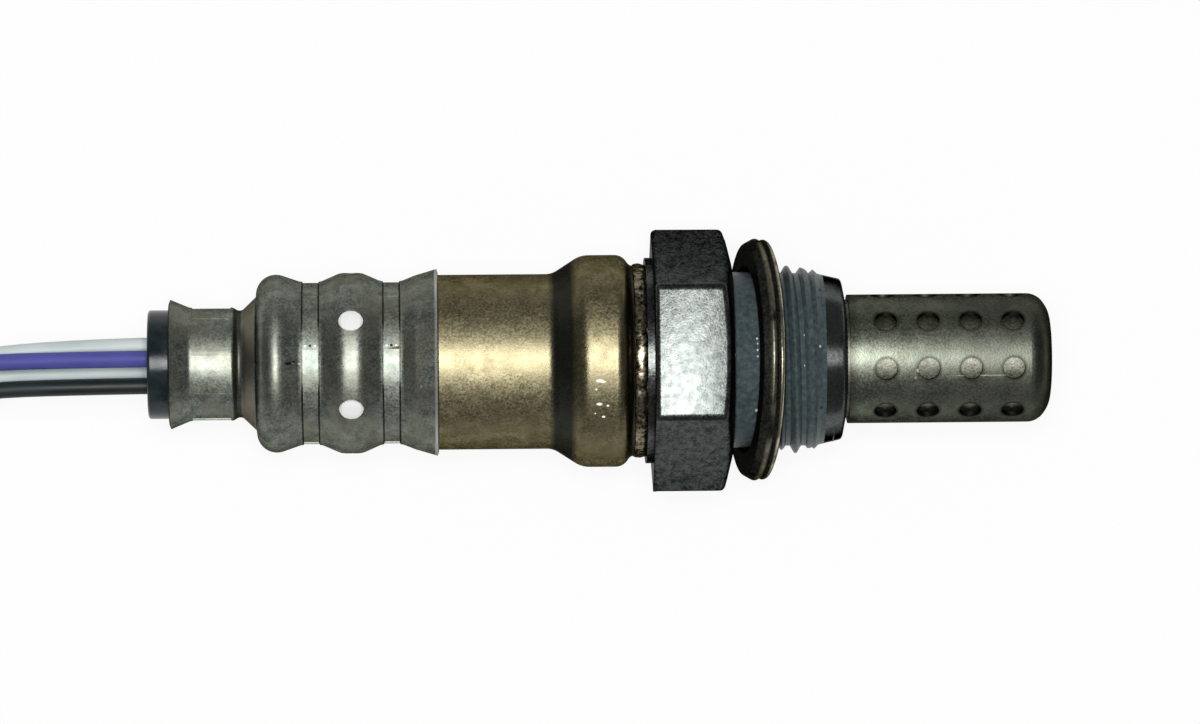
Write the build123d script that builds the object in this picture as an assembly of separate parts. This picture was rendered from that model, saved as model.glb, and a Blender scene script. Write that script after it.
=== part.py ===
from build123d import *
import os
from math import cos, radians, sin, sqrt, tan

# A heated four-wire oxygen sensor that lies on its side. Sizes are in millimetres and angles in degrees.
# +X runs along the sensor's axis to its sensing tip and +Z is up. The origin is on the axis, in the
# plane of the hexagon's sealing face. Angles round the axis are counted from +Z towards +Y.

# Housing, outside
across_flats = 22.0
hexagon_length = 7.6
seat_face_r = 9.4
hexagon_chamfer = 14.0
relief_r = 8.4
relief_length = 4.5
thread_r = 9.0
thread_run_in = 0.5
thread_length = 2.5
lead_in_rear_r = 8.2
lead_in_front_r = 7.7
lead_in_length = 2.2
nose_corner = 0.4
nose_dish = 0.4
collar_r = 9.85
collar_length = 0.65
land_r = 8.6
land_length = 2.7
folded_lip_r = 9.45
folded_lip_length = 3.3

# Housing, inside
main_bore_r = 4.9
seat_cone_x = 0.5
packing_bore_r = 6.2
packing_lip_r = 5.1
packing_lip_length = 0.8
fit_gap = 0.03

# Protection tubes
outer_tube_r = 6.17
outer_tube_wall = 0.5
outer_tube_start = 11.15
outer_tube_tip = 30.85
outer_tube_end_r = 4.58
inner_tube_wall = 0.4
inner_tube_room = 0.22
inner_tube_collar_r = 6.5
inner_tube_seat_length = 1.4
inner_tube_step_length = 0.7
tube_end_gap = 1.4
gas_hole_r = 1.05
gas_hole_first_x = 14.55
gas_hole_pitch = 4.05
gas_hole_count_along = 4
gas_hole_count_round = 8
gas_hole_angle = -13.5
inner_hole_r = 0.6

# Gasket
gasket_width = 2.89
gasket_thickness = 2.2
gasket_lean = 7.0
gasket_rise = 0.12
gasket_seat_gap = 0.08

# Covers
cover_wall = 0.5
cover_mouth_length = 1.45
cover_tube_r = 8.37
bulge_r = 10.15
bulge_length = 3.95
bulge_rise_length = 2.75
cover_step_x = -28.4
cover_neck_r = 6.7
cover_rear_x = -44.3
filter_cover_wall = 0.4
cover_rim_r = 8.95
cover_rim_x = -28.15
rim_slope_r = 8.33
rim_slope_length = 2.1
groove_r = 7.82
front_groove_x = -32.5
rear_groove_x = -40.2
groove_length = 1.95
crest_front_r = 8.69
crest_front_length = 1.75
crest_rear_r = 9.28
crest_rear_x = -45.41
shoulder_r = 6.42
shoulder_length = 1.34
neck_r = 5.12
neck_waist_length = 0.9
neck_step_length = 0.5
neck_band_r = 5.42
neck_band_length = 4.1
neck_flare_r = 6.2
neck_rear_x = -53.6
crimp_jaw_count = 8
crimp_angle = 7.0
crimp_depth = 0.12
crimp_ridge = 0.36
crimp_margin = 0.2
vent_hole_r = 1.2
vent_hole_count = 6
vent_angle = 24.3
inner_vent_r = 0.8
filter_wall = 0.56
filter_front_x = -31.3
filter_rear_x = -43.4
filter_belt_room = 0.25

# Ceramic element, heater and packing
element_collar_r = 6.1
element_collar_rear_x = -4.2
element_stem_r = 4.1
element_shaft_r = 3.5
element_tip_r = 2.6
element_tip_x = 27.0
element_rear_x = -16.5
element_bore_r = 2.0
element_floor = 1.2
washer_wall = 0.35
talc_length = 4.4
bush_length = 3.8
heater_r = 1.5
heater_tip_gap = 0.4
heater_rear_x = -21.3

# Contact block and spring
block_r = 7.7
block_wall = 1.2
block_shoulder_x = -27.0
block_neck_r = 5.9
block_floor_x = -22.0
block_rear_x = -42.0
contact_bore_r = 1.1
spring_wall = 0.3
strip_wall = 0.25
strip_width = 1.1
contact_crimp_r = 0.95
contact_crimp_x = -36.0

# Leads and rubber grommet
lead_r = 0.8
lead_circle_r = 2.05
lead_inner_x = -39.0
lead_straight = 4.25
grommet_rear_x = -55.75
grommet_front_x = -44.6
grommet_end_r = 5.2
grommet_edge = 0.3

# Coil and tie, for the stretch of the leads past the visible one
coil_x = -98.0
coil_r = 12.0
bundle_d = 3.95
bundle_spread = 0.9
bundle_low = 1.1
bundle_high = 2.85
coil_layer_count = 2
coil_step_count = 8
tie_wall = 0.5
tie_width = 2.4
tie_gap = 0.13
tie_head_length = 4.2
tie_head_wall = 2.0
tie_head_height = 4.6

# Plug on the leads' far end
plug_rear_x = -119.5
plug_y = -8.0
plug_width = 13.0
plug_height = 12.0
plug_length = 24.0
plug_rear_length = 7.5
plug_nose_width = 10.6
plug_nose_height = 9.2
plug_nose_length = 12.5
plug_corner = 1.6
pocket_corner = 1.0
cavity_pitch = 3.7
cavity_end_wall = 1.2
cavity_side = 2.3
cavity_mouth = 1.5
mat_seal_length = 5.0
mat_seal_inset = 0.8
front_seal_length = 2.4
front_seal_wall = 0.75
latch_width = 5.0
latch_wall = 1.3
latch_gap = 1.1
latch_length = 17.0
latch_set_back = 0.8
latch_root_length = 2.0
latch_tooth_length = 3.2
latch_tooth_width = 3.0
latch_pad_length = 2.8
latch_pad_width = 7.0
latch_pad_wall = 2.2
guide_rib_height = 1.6
guide_rib_wall = 0.45
pocket_wall = 1.3
lock_wall = 1.2
lock_length = 3.3
lock_depth = 1.0
lock_inset = 0.3
lead_run_in = 3.1
lead_in_plug = 7.5
terminal_crimp_length = 8.0
terminal_socket_length = 5.5


def turned(*corners):
    """Turns a closed outline of (x, radius) corners about the axis. A third value rounds the corner."""
    flat = make_face(Polyline(*[corner[:2] for corner in corners], close=True))
    for corner in corners:
        if len(corner) == 3:
            vertex = flat.vertices().sort_by_distance((corner[0], corner[1], 0))[0]
            flat = fillet(vertex, corner[2])
    return revolve(flat, Axis.X)


def drawn(wall, *corners):
    """Turns sheet metal about the axis. The corners, tip to tail, are (x, outer radius, bend radius)."""
    places = [corner[:2] for corner in corners]
    outside = FilletPolyline(*places, radius=[corner[2] for corner in corners[1:-1]])
    section = make_face(offset(outside, amount=wall, side=Side.LEFT, closed=True))
    below_axis = Pos(0, -across_flats) * Rectangle(20 * across_flats, 2 * across_flats)
    return revolve(section - below_axis, Axis.X)


def outward(x, angle):
    """A plane on the axis at x that faces outwards at an angle round it."""
    return Plane(origin=(x, 0, 0), x_dir=(1, 0, 0), z_dir=(0, sin(radians(angle)), cos(radians(angle))))


def radial_holes(x, radius, count, first_angle, start_r, end_r):
    """Round drills that stand outwards from the axis, evenly spaced round it."""
    drill = extrude(Circle(radius), end_r - start_r)
    return [outward(x, first_angle + 360 * i / count) * Pos(0, 0, start_r) * drill for i in range(count)]


def crimp_cut(x, length, radius):
    """What a crimping tool presses in round x: a shallow band, with a ridge left between each two jaws."""
    ring = Plane.YZ * (Circle(radius + 1) - Circle(radius - crimp_depth))
    band = Pos(x - length / 2, 0, 0) * extrude(ring, length)
    for i in range(crimp_jaw_count):
        angle = crimp_angle + 360 * i / crimp_jaw_count
        band -= outward(x, angle) * Pos(0, 0, radius) * Box(2 * length, crimp_ridge, 3)
    return band


thread_start = relief_length + thread_run_in
thread_end = thread_start + thread_length
lead_in_start = thread_end + thread_r - lead_in_rear_r
nose_x = lead_in_start + lead_in_length
collar_rear_x = -hexagon_length - collar_length
land_rear_x = collar_rear_x - land_length
folded_rear_x = land_rear_x - folded_lip_length
packing_rear_x = folded_rear_x + packing_lip_length
tube_collar_x = nose_x - packing_lip_length
outer_tube_bore_r = outer_tube_r - outer_tube_wall
inner_tube_r = outer_tube_bore_r - inner_tube_room
vent_x = (front_groove_x + rear_groove_x) / 2


def housing():
    """Turned steel: hexagon, relief, thread, lead-in, and the rear lip folded over the packing."""
    corner_r = across_flats / 2 / cos(radians(30))
    chamfer_x = -(corner_r - seat_face_r) * tan(radians(hexagon_chamfer))
    nose_bore_r = outer_tube_bore_r + fit_gap
    body = turned(
        (nose_x + nose_dish, nose_bore_r),
        (nose_x, lead_in_front_r, nose_corner),
        (lead_in_start, lead_in_rear_r),
        (thread_end, thread_r),
        (thread_start, thread_r),
        (relief_length, relief_r),
        (0, relief_r),
        (0, seat_face_r),
        (chamfer_x, corner_r),
        (-hexagon_length, corner_r),
        (-hexagon_length, collar_r),
        (collar_rear_x, collar_r),
        (collar_rear_x, land_r),
        (land_rear_x, land_r),
        (land_rear_x, folded_lip_r, 0.5),
        (folded_rear_x, folded_lip_r, 1.2),
        (folded_rear_x, packing_lip_r),
        (packing_rear_x, packing_lip_r),
        (packing_rear_x, packing_bore_r),
        (seat_cone_x - packing_bore_r + main_bore_r, packing_bore_r),
        (seat_cone_x, main_bore_r),
        (tube_collar_x - inner_tube_wall, main_bore_r),
        (tube_collar_x - inner_tube_wall, inner_tube_collar_r + fit_gap),
        (tube_collar_x, inner_tube_collar_r + fit_gap),
        (tube_collar_x, nose_bore_r),
    )
    hexagon = Plane.YZ * RegularPolygon(across_flats / 2, 6, major_radius=False)
    prism = Pos(-hexagon_length, 0, 0) * extrude(hexagon, hexagon_length)
    room_r = corner_r + 1
    outside_hexagon = turned((-hexagon_length, 0), (-hexagon_length, room_r), (0, room_r), (0, 0)) - prism
    return body - outside_hexagon


def outer_protection_tube():
    """Drawn cap with rows of round gas holes and a rounded end."""
    tube = drawn(
        outer_tube_wall,
        (outer_tube_tip + 0.1, -1),
        (outer_tube_tip - 0.4, outer_tube_end_r, 2.6),
        (outer_tube_tip - 1.49, outer_tube_r, 1.9),
        (outer_tube_start, outer_tube_r),
    )
    for i in range(gas_hole_count_along):
        x = gas_hole_first_x + i * gas_hole_pitch
        tube -= radial_holes(
            x, gas_hole_r, gas_hole_count_round, gas_hole_angle, inner_tube_r, outer_tube_r + 1
        )
    return tube


def inner_protection_tube():
    """Drawn cap that carries the outer one. Its collar is held under the housing's front lip."""
    step_x = outer_tube_start + inner_tube_seat_length
    tip_x = outer_tube_tip - tube_end_gap
    tube = drawn(
        inner_tube_wall,
        (tip_x, -1),
        (tip_x, inner_tube_r, 1.6),
        (step_x + inner_tube_step_length, inner_tube_r, 0.5),
        (step_x, outer_tube_bore_r, 0.5),
        (tube_collar_x, outer_tube_bore_r),
    )
    collar = turned(
        (tube_collar_x, outer_tube_bore_r - inner_tube_wall),
        (tube_collar_x, inner_tube_collar_r),
        (tube_collar_x - inner_tube_wall, inner_tube_collar_r),
        (tube_collar_x - inner_tube_wall, outer_tube_bore_r - inner_tube_wall),
    )
    between_rows = gas_hole_angle + 180 / gas_hole_count_round
    for x in (gas_hole_first_x, gas_hole_first_x + 2 * gas_hole_pitch):
        tube -= radial_holes(
            x, inner_hole_r, gas_hole_count_round // 2, between_rows, element_shaft_r, outer_tube_r
        )
    return tube + collar


def sealing_gasket():
    """Folded sheet ring. It is loose on the relief and leans, its upper edge towards the tip."""
    half = gasket_thickness / 2
    lean = radians(gasket_lean)
    bore_r = (relief_r + gasket_rise + half * sin(lean) + fit_gap) / cos(lean)
    gasket_r = bore_r + gasket_width
    bend = gasket_width / 10
    ring = turned(
        (-half, bore_r + bend),
        (-half, gasket_r - 0.19 * gasket_width, 0.7 * bend),
        (-0.1 * half, gasket_r, bend),
        (0.3 * half, gasket_r - 0.1 * gasket_width),
        (0.73 * half, gasket_r, bend),
        (half, gasket_r - 0.26 * gasket_width, bend),
        (half, bore_r + bend),
        (0.64 * half, bore_r, 0.7 * bend),
        (0.18 * half, bore_r, 0.5 * bend),
        (0.05 * half, bore_r + 0.55 * gasket_width),
        (-0.09 * half, bore_r, 0.5 * bend),
        (-0.64 * half, bore_r, 0.7 * bend),
    )
    middle_x = gasket_seat_gap + half * cos(lean) + seat_face_r * sin(lean)
    return Pos(middle_x, 0, gasket_rise) * Rot(0, gasket_lean, 0) * ring


def air_side_cover():
    """Drawn tube welded to the housing's land, with a bulge over the folded lip and a narrow rear end."""
    mouth_r = land_r + cover_wall
    foot_x = collar_rear_x - cover_mouth_length
    bulge_front_x = foot_x - 0.7 * (bulge_r - mouth_r)
    bulge_rear_x = bulge_front_x - bulge_length
    cover = drawn(
        cover_wall,
        (collar_rear_x, mouth_r),
        (foot_x, mouth_r, 0.7),
        (bulge_front_x, bulge_r, 1.3),
        (bulge_rear_x, bulge_r, 2.6),
        (bulge_rear_x - bulge_rise_length, cover_tube_r, 2.0),
        (cover_step_x, cover_tube_r, 0.7),
        (cover_step_x - cover_tube_r + cover_neck_r, cover_neck_r, 0.7),
        (cover_rear_x, cover_neck_r),
    )
    return cover - radial_holes(
        vent_x, inner_vent_r, vent_hole_count, vent_angle, block_neck_r, cover_neck_r + 1
    )


def filter_cover():
    """Drawn cap over the air-side cover: two crests, two crimped grooves and the neck on the grommet."""
    half_groove = groove_length / 2
    half_crest = crest_front_length / 2
    neck_front_x = crest_rear_x - shoulder_length
    band_front_x = neck_front_x - neck_waist_length
    band_rear_x = band_front_x - neck_band_length
    cover = drawn(
        filter_cover_wall,
        (cover_rim_x, cover_rim_r),
        (cover_rim_x - rim_slope_length, rim_slope_r, 2.0),
        (front_groove_x + half_groove, groove_r, 1.0),
        (front_groove_x - half_groove, groove_r, 1.2),
        (vent_x + half_crest, crest_front_r, 2.4),
        (vent_x - half_crest, crest_front_r, 2.4),
        (rear_groove_x + half_groove, groove_r, 1.2),
        (rear_groove_x - half_groove, groove_r, 1.2),
        (crest_rear_x, crest_rear_r, 1.9),
        (crest_rear_x, shoulder_r, 0.3),
        (neck_front_x, neck_r, 0.5),
        (band_front_x + neck_step_length, neck_r, 0.5),
        (band_front_x, neck_band_r, 0.5),
        (band_rear_x, neck_band_r, 0.8),
        (neck_rear_x, neck_flare_r),
    )
    for x in (front_groove_x, rear_groove_x):
        cover -= crimp_cut(x, groove_length - 2 * crimp_margin, groove_r)
    cover -= crimp_cut((band_front_x + band_rear_x) / 2, neck_band_length - 2 * crimp_margin, neck_band_r)
    return cover - radial_holes(
        vent_x, vent_hole_r, vent_hole_count, vent_angle, cover_neck_r, crest_front_r + 1
    )


def vent_filter():
    """Porous sleeve between the two covers, with a belt under the crest, seen through the vent holes."""
    sleeve_r = cover_neck_r + filter_wall
    belt_r = crest_front_r - filter_cover_wall - filter_belt_room
    belt_half = crest_front_length / 2
    return turned(
        (filter_front_x, cover_neck_r),
        (filter_front_x, sleeve_r),
        (vent_x + belt_half + 1.6, sleeve_r),
        (vent_x + belt_half, belt_r),
        (vent_x - belt_half, belt_r),
        (vent_x - belt_half - 1.6, sleeve_r),
        (filter_rear_x, sleeve_r),
        (filter_rear_x, cover_neck_r),
    )


def zirconia_element():
    """Closed ceramic cup. Its collar rests on the seat washer and its stem runs out through the packing."""
    seat_sum = seat_cone_x + main_bore_r - washer_wall * sqrt(2)
    return turned(
        (element_tip_x, 0),
        (element_tip_x, element_tip_r, 2.4),
        (4.0, element_shaft_r),
        (1.3, element_shaft_r, 0.6),
        (seat_sum - main_bore_r + 0.2, main_bore_r - 0.2),
        (seat_sum - element_collar_r, element_collar_r),
        (element_collar_rear_x, element_collar_r),
        (element_collar_rear_x - 0.8, element_stem_r),
        (element_rear_x, element_stem_r),
        (element_rear_x, element_bore_r),
        (element_tip_x - element_floor, element_bore_r, 1.4),
        (element_tip_x - element_floor, 0),
    )


def heater_rod():
    """Ceramic rod in the element's bore, with the heating wire sealed inside it."""
    tip_x = element_tip_x - element_floor - heater_tip_gap
    return turned((tip_x, 0), (tip_x, heater_r, 0.6), (heater_rear_x, heater_r, 0.2), (heater_rear_x, 0))


def seat_washer():
    """Cone-shaped metal washer between the housing's seat and the element's collar."""
    edge = washer_wall / sqrt(2)
    low_r = main_bore_r + 0.1
    high_r = packing_bore_r - fit_gap
    seat_sum = seat_cone_x + main_bore_r
    return turned(
        (seat_sum - low_r, low_r),
        (seat_sum - high_r, high_r),
        (seat_sum - high_r - edge, high_r - edge),
        (seat_sum - low_r - edge, low_r - edge),
    )


def packing():
    """Talc ring, ceramic bush and crimp ring, pressed one on the other behind the element's collar."""
    talc_rear_x = element_collar_rear_x - talc_length
    bush_rear_x = talc_rear_x - bush_length
    talc = turned(
        (element_collar_rear_x, packing_bore_r),
        (element_collar_rear_x, element_collar_r),
        (element_collar_rear_x - 0.8, element_stem_r),
        (talc_rear_x, element_stem_r),
        (talc_rear_x, packing_bore_r),
    )
    bush = turned(
        (talc_rear_x, packing_bore_r - fit_gap),
        (talc_rear_x, element_stem_r + fit_gap),
        (bush_rear_x, element_stem_r + fit_gap, 0.3),
        (bush_rear_x, packing_bore_r - fit_gap, 0.3),
    )
    ring = turned(
        (bush_rear_x, packing_bore_r - fit_gap, 0.4),
        (bush_rear_x, element_stem_r + 0.6, 0.4),
        (packing_rear_x, element_stem_r + 0.6, 0.4),
        (packing_rear_x, packing_bore_r - fit_gap, 0.4),
    )
    return talc, bush, ring


def contact_separator():
    """Ceramic block: a skirt that seats on the housing's lip, and four bores for the contacts."""
    block = turned(
        (folded_rear_x, block_r - block_wall),
        (folded_rear_x, block_r, 0.3),
        (block_shoulder_x, block_r, 0.3),
        (block_shoulder_x, block_neck_r),
        (block_rear_x, block_neck_r, 0.4),
        (block_rear_x, 0),
        (block_floor_x, 0),
        (block_floor_x, block_r - block_wall),
    )
    for angle in lead_angles.values():
        bore = Plane.YZ * Circle(contact_bore_r)
        block -= at_lead(angle) * Pos(block_rear_x, 0, 0) * extrude(bore, block_floor_x - block_rear_x)
    return block


def disc_spring():
    """Coned washer that pushes the contact block forward from the cover's step."""
    rim_r = cover_tube_r - cover_wall - 0.12
    return turned(
        (block_shoulder_x - fit_gap, block_neck_r + 0.15),
        (block_shoulder_x - fit_gap, block_neck_r + 0.15 + 1.3 * spring_wall),
        (cover_step_x + 0.35, rim_r),
        (cover_step_x + 0.05, rim_r - 0.15),
    )


# The leads by name, each at its angle round the axis
lead_angles = {"violet": 12.7, "white_a": 102.7, "white_b": 192.7, "black": 282.7}


def at_lead(angle):
    """Moves a thing on the axis to one lead's place in the block and the grommet."""
    return Pos(0, lead_circle_r * sin(radians(angle)), lead_circle_r * cos(radians(angle)))


def contact_tail(angle):
    """The straight rear of a contact in its bore: a strip, and the crimp that grips the lead's end."""
    strip_length = block_floor_x - contact_crimp_x
    strip = Pos(block_floor_x - strip_length / 2, 0, 0) * Box(strip_length, strip_width, strip_wall)
    crimp = turned(
        (contact_crimp_x, 0),
        (contact_crimp_x, contact_crimp_r, 0.2),
        (lead_inner_x, contact_crimp_r, 0.2),
        (lead_inner_x, 0),
    )
    return at_lead(angle) * Rot(-angle, 0, 0) * (strip + crimp)


def contact_arm(angle, *route):
    """A strip in the plane of one lead that follows (x, radius) points from the front to its bore."""
    line = Polyline(*route, (block_floor_x, lead_circle_r))
    flat = make_face(offset(line, amount=strip_wall / 2, side=Side.BOTH, closed=True))
    arm = extrude(flat, strip_width / 2, both=True)
    return Rot(90 - angle, 0, 0) * arm


def terminals():
    """Four contacts: signal inside the element, ground round its stem, and two on the heater rod."""
    signal = contact_tail(lead_angles["black"]) + contact_arm(
        lead_angles["black"], (-15.0, heater_r + strip_wall), (-17.5, heater_r + strip_wall)
    )
    signal += turned(
        (-10.0, heater_r + fit_gap),
        (-10.0, element_bore_r - fit_gap),
        (-15.5, element_bore_r - fit_gap),
        (-15.5, heater_r + fit_gap),
    )
    clasp_r = element_stem_r + strip_wall
    ground = contact_tail(lead_angles["violet"]) + contact_arm(
        lead_angles["violet"], (-15.6, clasp_r - strip_wall / 2), (-17.2, clasp_r - strip_wall / 2)
    )
    ground += turned(
        (folded_rear_x - 0.4, element_stem_r),
        (folded_rear_x - 0.4, clasp_r),
        (element_rear_x + 0.2, clasp_r),
        (element_rear_x + 0.2, element_stem_r),
    )
    heaters = []
    for name in ("white_a", "white_b"):
        pad = (-18.2, heater_r + strip_wall / 2), (-20.9, heater_r + strip_wall / 2)
        heaters.append(contact_tail(lead_angles[name]) + contact_arm(lead_angles[name], *pad))
    return signal, ground, heaters


def lead_grommet():
    """Moulded rubber plug held by the crimped neck, with a bore for each lead."""
    neck_bore_r = neck_r - filter_cover_wall - crimp_depth - fit_gap
    head_r = shoulder_r - filter_cover_wall - 0.3
    head_rear_x = crest_rear_x + 0.1
    plug = turned(
        (grommet_front_x, 0),
        (grommet_front_x, head_r, 0.3),
        (head_rear_x, head_r),
        (head_rear_x - shoulder_length + 0.1, neck_bore_r),
        (neck_rear_x + 1.6, neck_bore_r),
        (neck_rear_x + 0.5, grommet_end_r),
        (grommet_rear_x, grommet_end_r, grommet_edge),
        (grommet_rear_x, 0),
    )
    for angle in lead_angles.values():
        bore = Plane.YZ * Circle(lead_r + fit_gap)
        plug -= at_lead(angle) * Pos(grommet_rear_x, 0, 0) * extrude(bore, grommet_front_x - grommet_rear_x)
    return plug


def cavity_places():
    """The four contact places in the plug, by lead, as (y, z)."""
    left, right = plug_y - cavity_pitch / 2, plug_y + cavity_pitch / 2
    low, high = plug_z - cavity_pitch / 2, plug_z + cavity_pitch / 2
    return {"violet": (right, high), "white_a": (right, low), "white_b": (left, low), "black": (left, high)}


gasket = sealing_gasket()
floor_z = gasket.bounding_box().min.Z
coil_height = coil_layer_count * bundle_d
coil_middle_z = floor_z + coil_height / 2 + bundle_d / 2
plug_z = floor_z + plug_height / 2

# Each lead's route, chosen by hand: from its crimp through the grommet to the coil, and from the coil
# towards the plug. Heights are above the surface that everything lies on. In the coil, two leads run
# inside and two outside, one above the other.
inner_y, outer_y = -(coil_r - bundle_spread), -(coil_r + bundle_spread)
top_low, top_high = coil_height + bundle_low, coil_height + bundle_high
lead_in_routes = {
    "violet": [
        (-72, 0.3, 12.9),
        (-81, -5.2, 11.8),
        (-89.5, inner_y, top_high),
        (coil_x, inner_y, top_high),
    ],
    "white_a": [
        (-71.8, 1.1, 10.8),
        (-81, -5.0, 9.9),
        (-89.5, inner_y, top_low),
        (coil_x, inner_y, top_low),
    ],
    "white_b": [
        (-71.5, -0.95, 9.5),
        (-80.5, -7.2, 9.2),
        (-88.95, outer_y, top_low),
        (coil_x, outer_y, top_low),
    ],
    "black": [
        (-71.3, -2.15, 11.8),
        (-80.3, -7.55, 11.2),
        (-88.95, outer_y, top_high),
        (coil_x, outer_y, top_high),
    ],
}
lead_out_routes = {
    "violet": [(coil_x, inner_y, bundle_high), (-104.5, inner_y, bundle_high), (-111, -11.0, 4.2)],
    "white_a": [(coil_x, inner_y, bundle_low), (-104.5, inner_y, bundle_low), (-111, -11.0, 1.9)],
    "white_b": [(coil_x, outer_y, bundle_low), (-104.5, outer_y, bundle_low), (-111, -12.8, 1.8)],
    "black": [(coil_x, outer_y, bundle_high), (-104.5, outer_y, bundle_high), (-111, -12.8, 4.3)],
}


def tube_along(name, points):
    """A round lead along straight runs joined by arcs as large as the two runs at each corner allow."""
    corners = [Vector(*point) for point in points]
    radii = []
    for before, corner, after in zip(corners, corners[1:], corners[2:]):
        turn = (corner - before).get_angle(after - corner)
        shorter = min((corner - before).length, (after - corner).length)
        radii.append(0.45 * shorter / tan(radians(turn / 2)))
    path = FilletPolyline(*corners, radius=radii)
    print(name, "length", round(path.length, 1), "arc radii", [round(r, 1) for r in radii])
    start = Plane(origin=corners[0], z_dir=corners[1] - corners[0])
    return sweep(start * Circle(lead_r), path)


def lead(name):
    """One insulated lead: the stretch from its crimp to the coil, and the stretch from the coil on."""
    angle = radians(lead_angles[name])
    crimp_end = (lead_inner_x, lead_circle_r * sin(angle), lead_circle_r * cos(angle))
    first = (grommet_rear_x - lead_straight, crimp_end[1], crimp_end[2])
    on_way = [(x, y, floor_z + height) for x, y, height in lead_in_routes[name]]
    away = [(x, y, floor_z + height) for x, y, height in lead_out_routes[name]]
    away += [(x, *cavity_places()[name]) for x in (plug_rear_x + lead_run_in, plug_rear_x - lead_in_plug)]
    return Compound([tube_along(name, [crimp_end, first, *on_way]).solid(), tube_along(name, away).solid()])


def lead_coil():
    """The wound stretch of the four leads, in steps that fall from the first layer to the last."""
    steps = []
    turn = 360 / coil_step_count
    for i in range(coil_step_count):
        middle_z = coil_middle_z + bundle_d / 2 - bundle_d * i / (coil_step_count - 1)
        section = Pos(coil_r, middle_z) * RectangleRounded(bundle_d, coil_height, bundle_d * 0.45)
        arc = revolve(Plane.XZ * section, Axis.Z, turn)
        steps.append(Pos(coil_x, 0, 0) * Rot(0, 0, -90 - turn * (i + 1)) * arc)
    coil = steps[0]
    for step in steps[1:]:
        coil += step
    return coil


def coil_tie():
    """Flat tie round the coil's section, opposite the leads, with its small square head outside."""
    loop_height = coil_height + bundle_d / coil_step_count + 2 * tie_gap
    inside = RectangleRounded(bundle_d + 2 * tie_gap, loop_height, bundle_d * 0.4)
    band = Plane.YZ * (offset(inside, tie_wall) - inside)
    loop = Pos(coil_x - tie_width / 2, coil_r, coil_middle_z) * extrude(band, tie_width)
    head_y = coil_r + bundle_d / 2 + tie_gap + tie_wall + 0.45 * tie_head_wall
    head = Pos(coil_x, head_y, coil_middle_z) * Box(tie_head_length, tie_head_wall, tie_head_height)
    return loop + fillet(head.edges(), tie_head_wall / 4)


def plug_block(x_from, length, width, height, corner):
    """A block with rounded long edges, centred on the plug, that runs from x_from towards -X."""
    section = Plane.YZ * RectangleRounded(width, height, corner)
    return Pos(x_from - length, plug_y, plug_z) * extrude(section, length)


def connector_housing():
    """Moulded four-way plug: rear collar, body, nose with contact mouths, guide ribs and latch arm."""
    front_x = plug_rear_x - plug_length
    body = plug_block(plug_rear_x, plug_rear_length, plug_width, plug_height, plug_corner)
    rear_length = plug_length - plug_nose_length
    body += plug_block(plug_rear_x, rear_length, plug_width - 1, plug_height - 1, plug_corner)
    body += plug_block(plug_rear_x, plug_length, plug_nose_width, plug_nose_height, plug_corner)
    pocket_length = mat_seal_inset + mat_seal_length + 1
    body -= plug_block(
        plug_rear_x + 1,
        pocket_length,
        plug_width - 2 * pocket_wall,
        plug_height - 2 * pocket_wall,
        pocket_corner,
    )
    cavity_length = plug_length - cavity_end_wall
    for y, z in cavity_places().values():
        body -= Pos(plug_rear_x - cavity_length / 2, y, z) * Box(cavity_length, cavity_side, cavity_side)
        body -= Pos(front_x, y, z) * Box(2 * cavity_end_wall + 1, cavity_mouth, cavity_mouth)
    rib_length = plug_nose_length - front_seal_length - 3
    for side in (-1, 1):
        rib_y = plug_y + side * plug_nose_width / 2
        rib = Box(rib_length, 2 * guide_rib_wall, guide_rib_height)
        body += Pos(front_x + 1.5 + rib_length / 2, rib_y, plug_z - guide_rib_height) * rib
    body += latch_arm(front_x + latch_set_back, plug_z + plug_nose_height / 2)
    slot_length = lock_length + 2 * fit_gap
    slot_width = plug_width - 2 * pocket_wall - 2 * lock_inset
    slot = Box(slot_length, slot_width, 2 * lock_depth + 1)
    return body - Pos(lock_x(), plug_y, plug_z - plug_height / 2) * slot


def latch_arm(front_x, nose_top_z):
    """Spring arm over the plug's nose: rooted at the front, with a tooth and a pad to press."""
    low_z = nose_top_z + latch_gap
    middle_z = low_z + latch_wall / 2
    arm = Pos(front_x + latch_length / 2, plug_y, middle_z) * Box(latch_length, latch_width, latch_wall)
    root_x = front_x + latch_root_length / 2
    root_z = nose_top_z + latch_gap / 2
    arm += Pos(root_x, plug_y, root_z) * Box(latch_root_length, latch_width, latch_gap + 1)
    tooth_side = Polyline((0, 0), (latch_tooth_length, 0), (latch_tooth_length, latch_wall), close=True)
    tooth = Plane.XZ * Pos(front_x + 2 * latch_root_length, low_z + latch_wall) * make_face(tooth_side)
    arm += Pos(0, plug_y, 0) * extrude(tooth, latch_tooth_width / 2, both=True)
    pad_x = front_x + latch_length - latch_pad_length / 2
    pad_z = low_z + latch_pad_wall / 2
    pad = Pos(pad_x, plug_y, pad_z) * Box(latch_pad_length, latch_pad_width, latch_pad_wall)
    return arm + fillet(pad.edges().filter_by(Axis.Y), latch_pad_wall / 5)


def lock_x():
    """The place of the lock along the plug, in the body between the collar and the nose."""
    return plug_rear_x - (plug_rear_length + plug_length - plug_nose_length) / 2


def connector_lock():
    """Second lock: a small slab pushed into the plug's underside behind the contacts."""
    slab_z = plug_z - plug_height / 2 + lock_inset + lock_wall / 2
    slab_width = plug_width - 2 * pocket_wall - 2 * lock_inset - 0.2
    slab = Pos(lock_x(), plug_y, slab_z) * Box(lock_length, slab_width, lock_wall)
    return fillet(slab.edges().filter_by(Axis.Y), lock_wall / 4)


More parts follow.
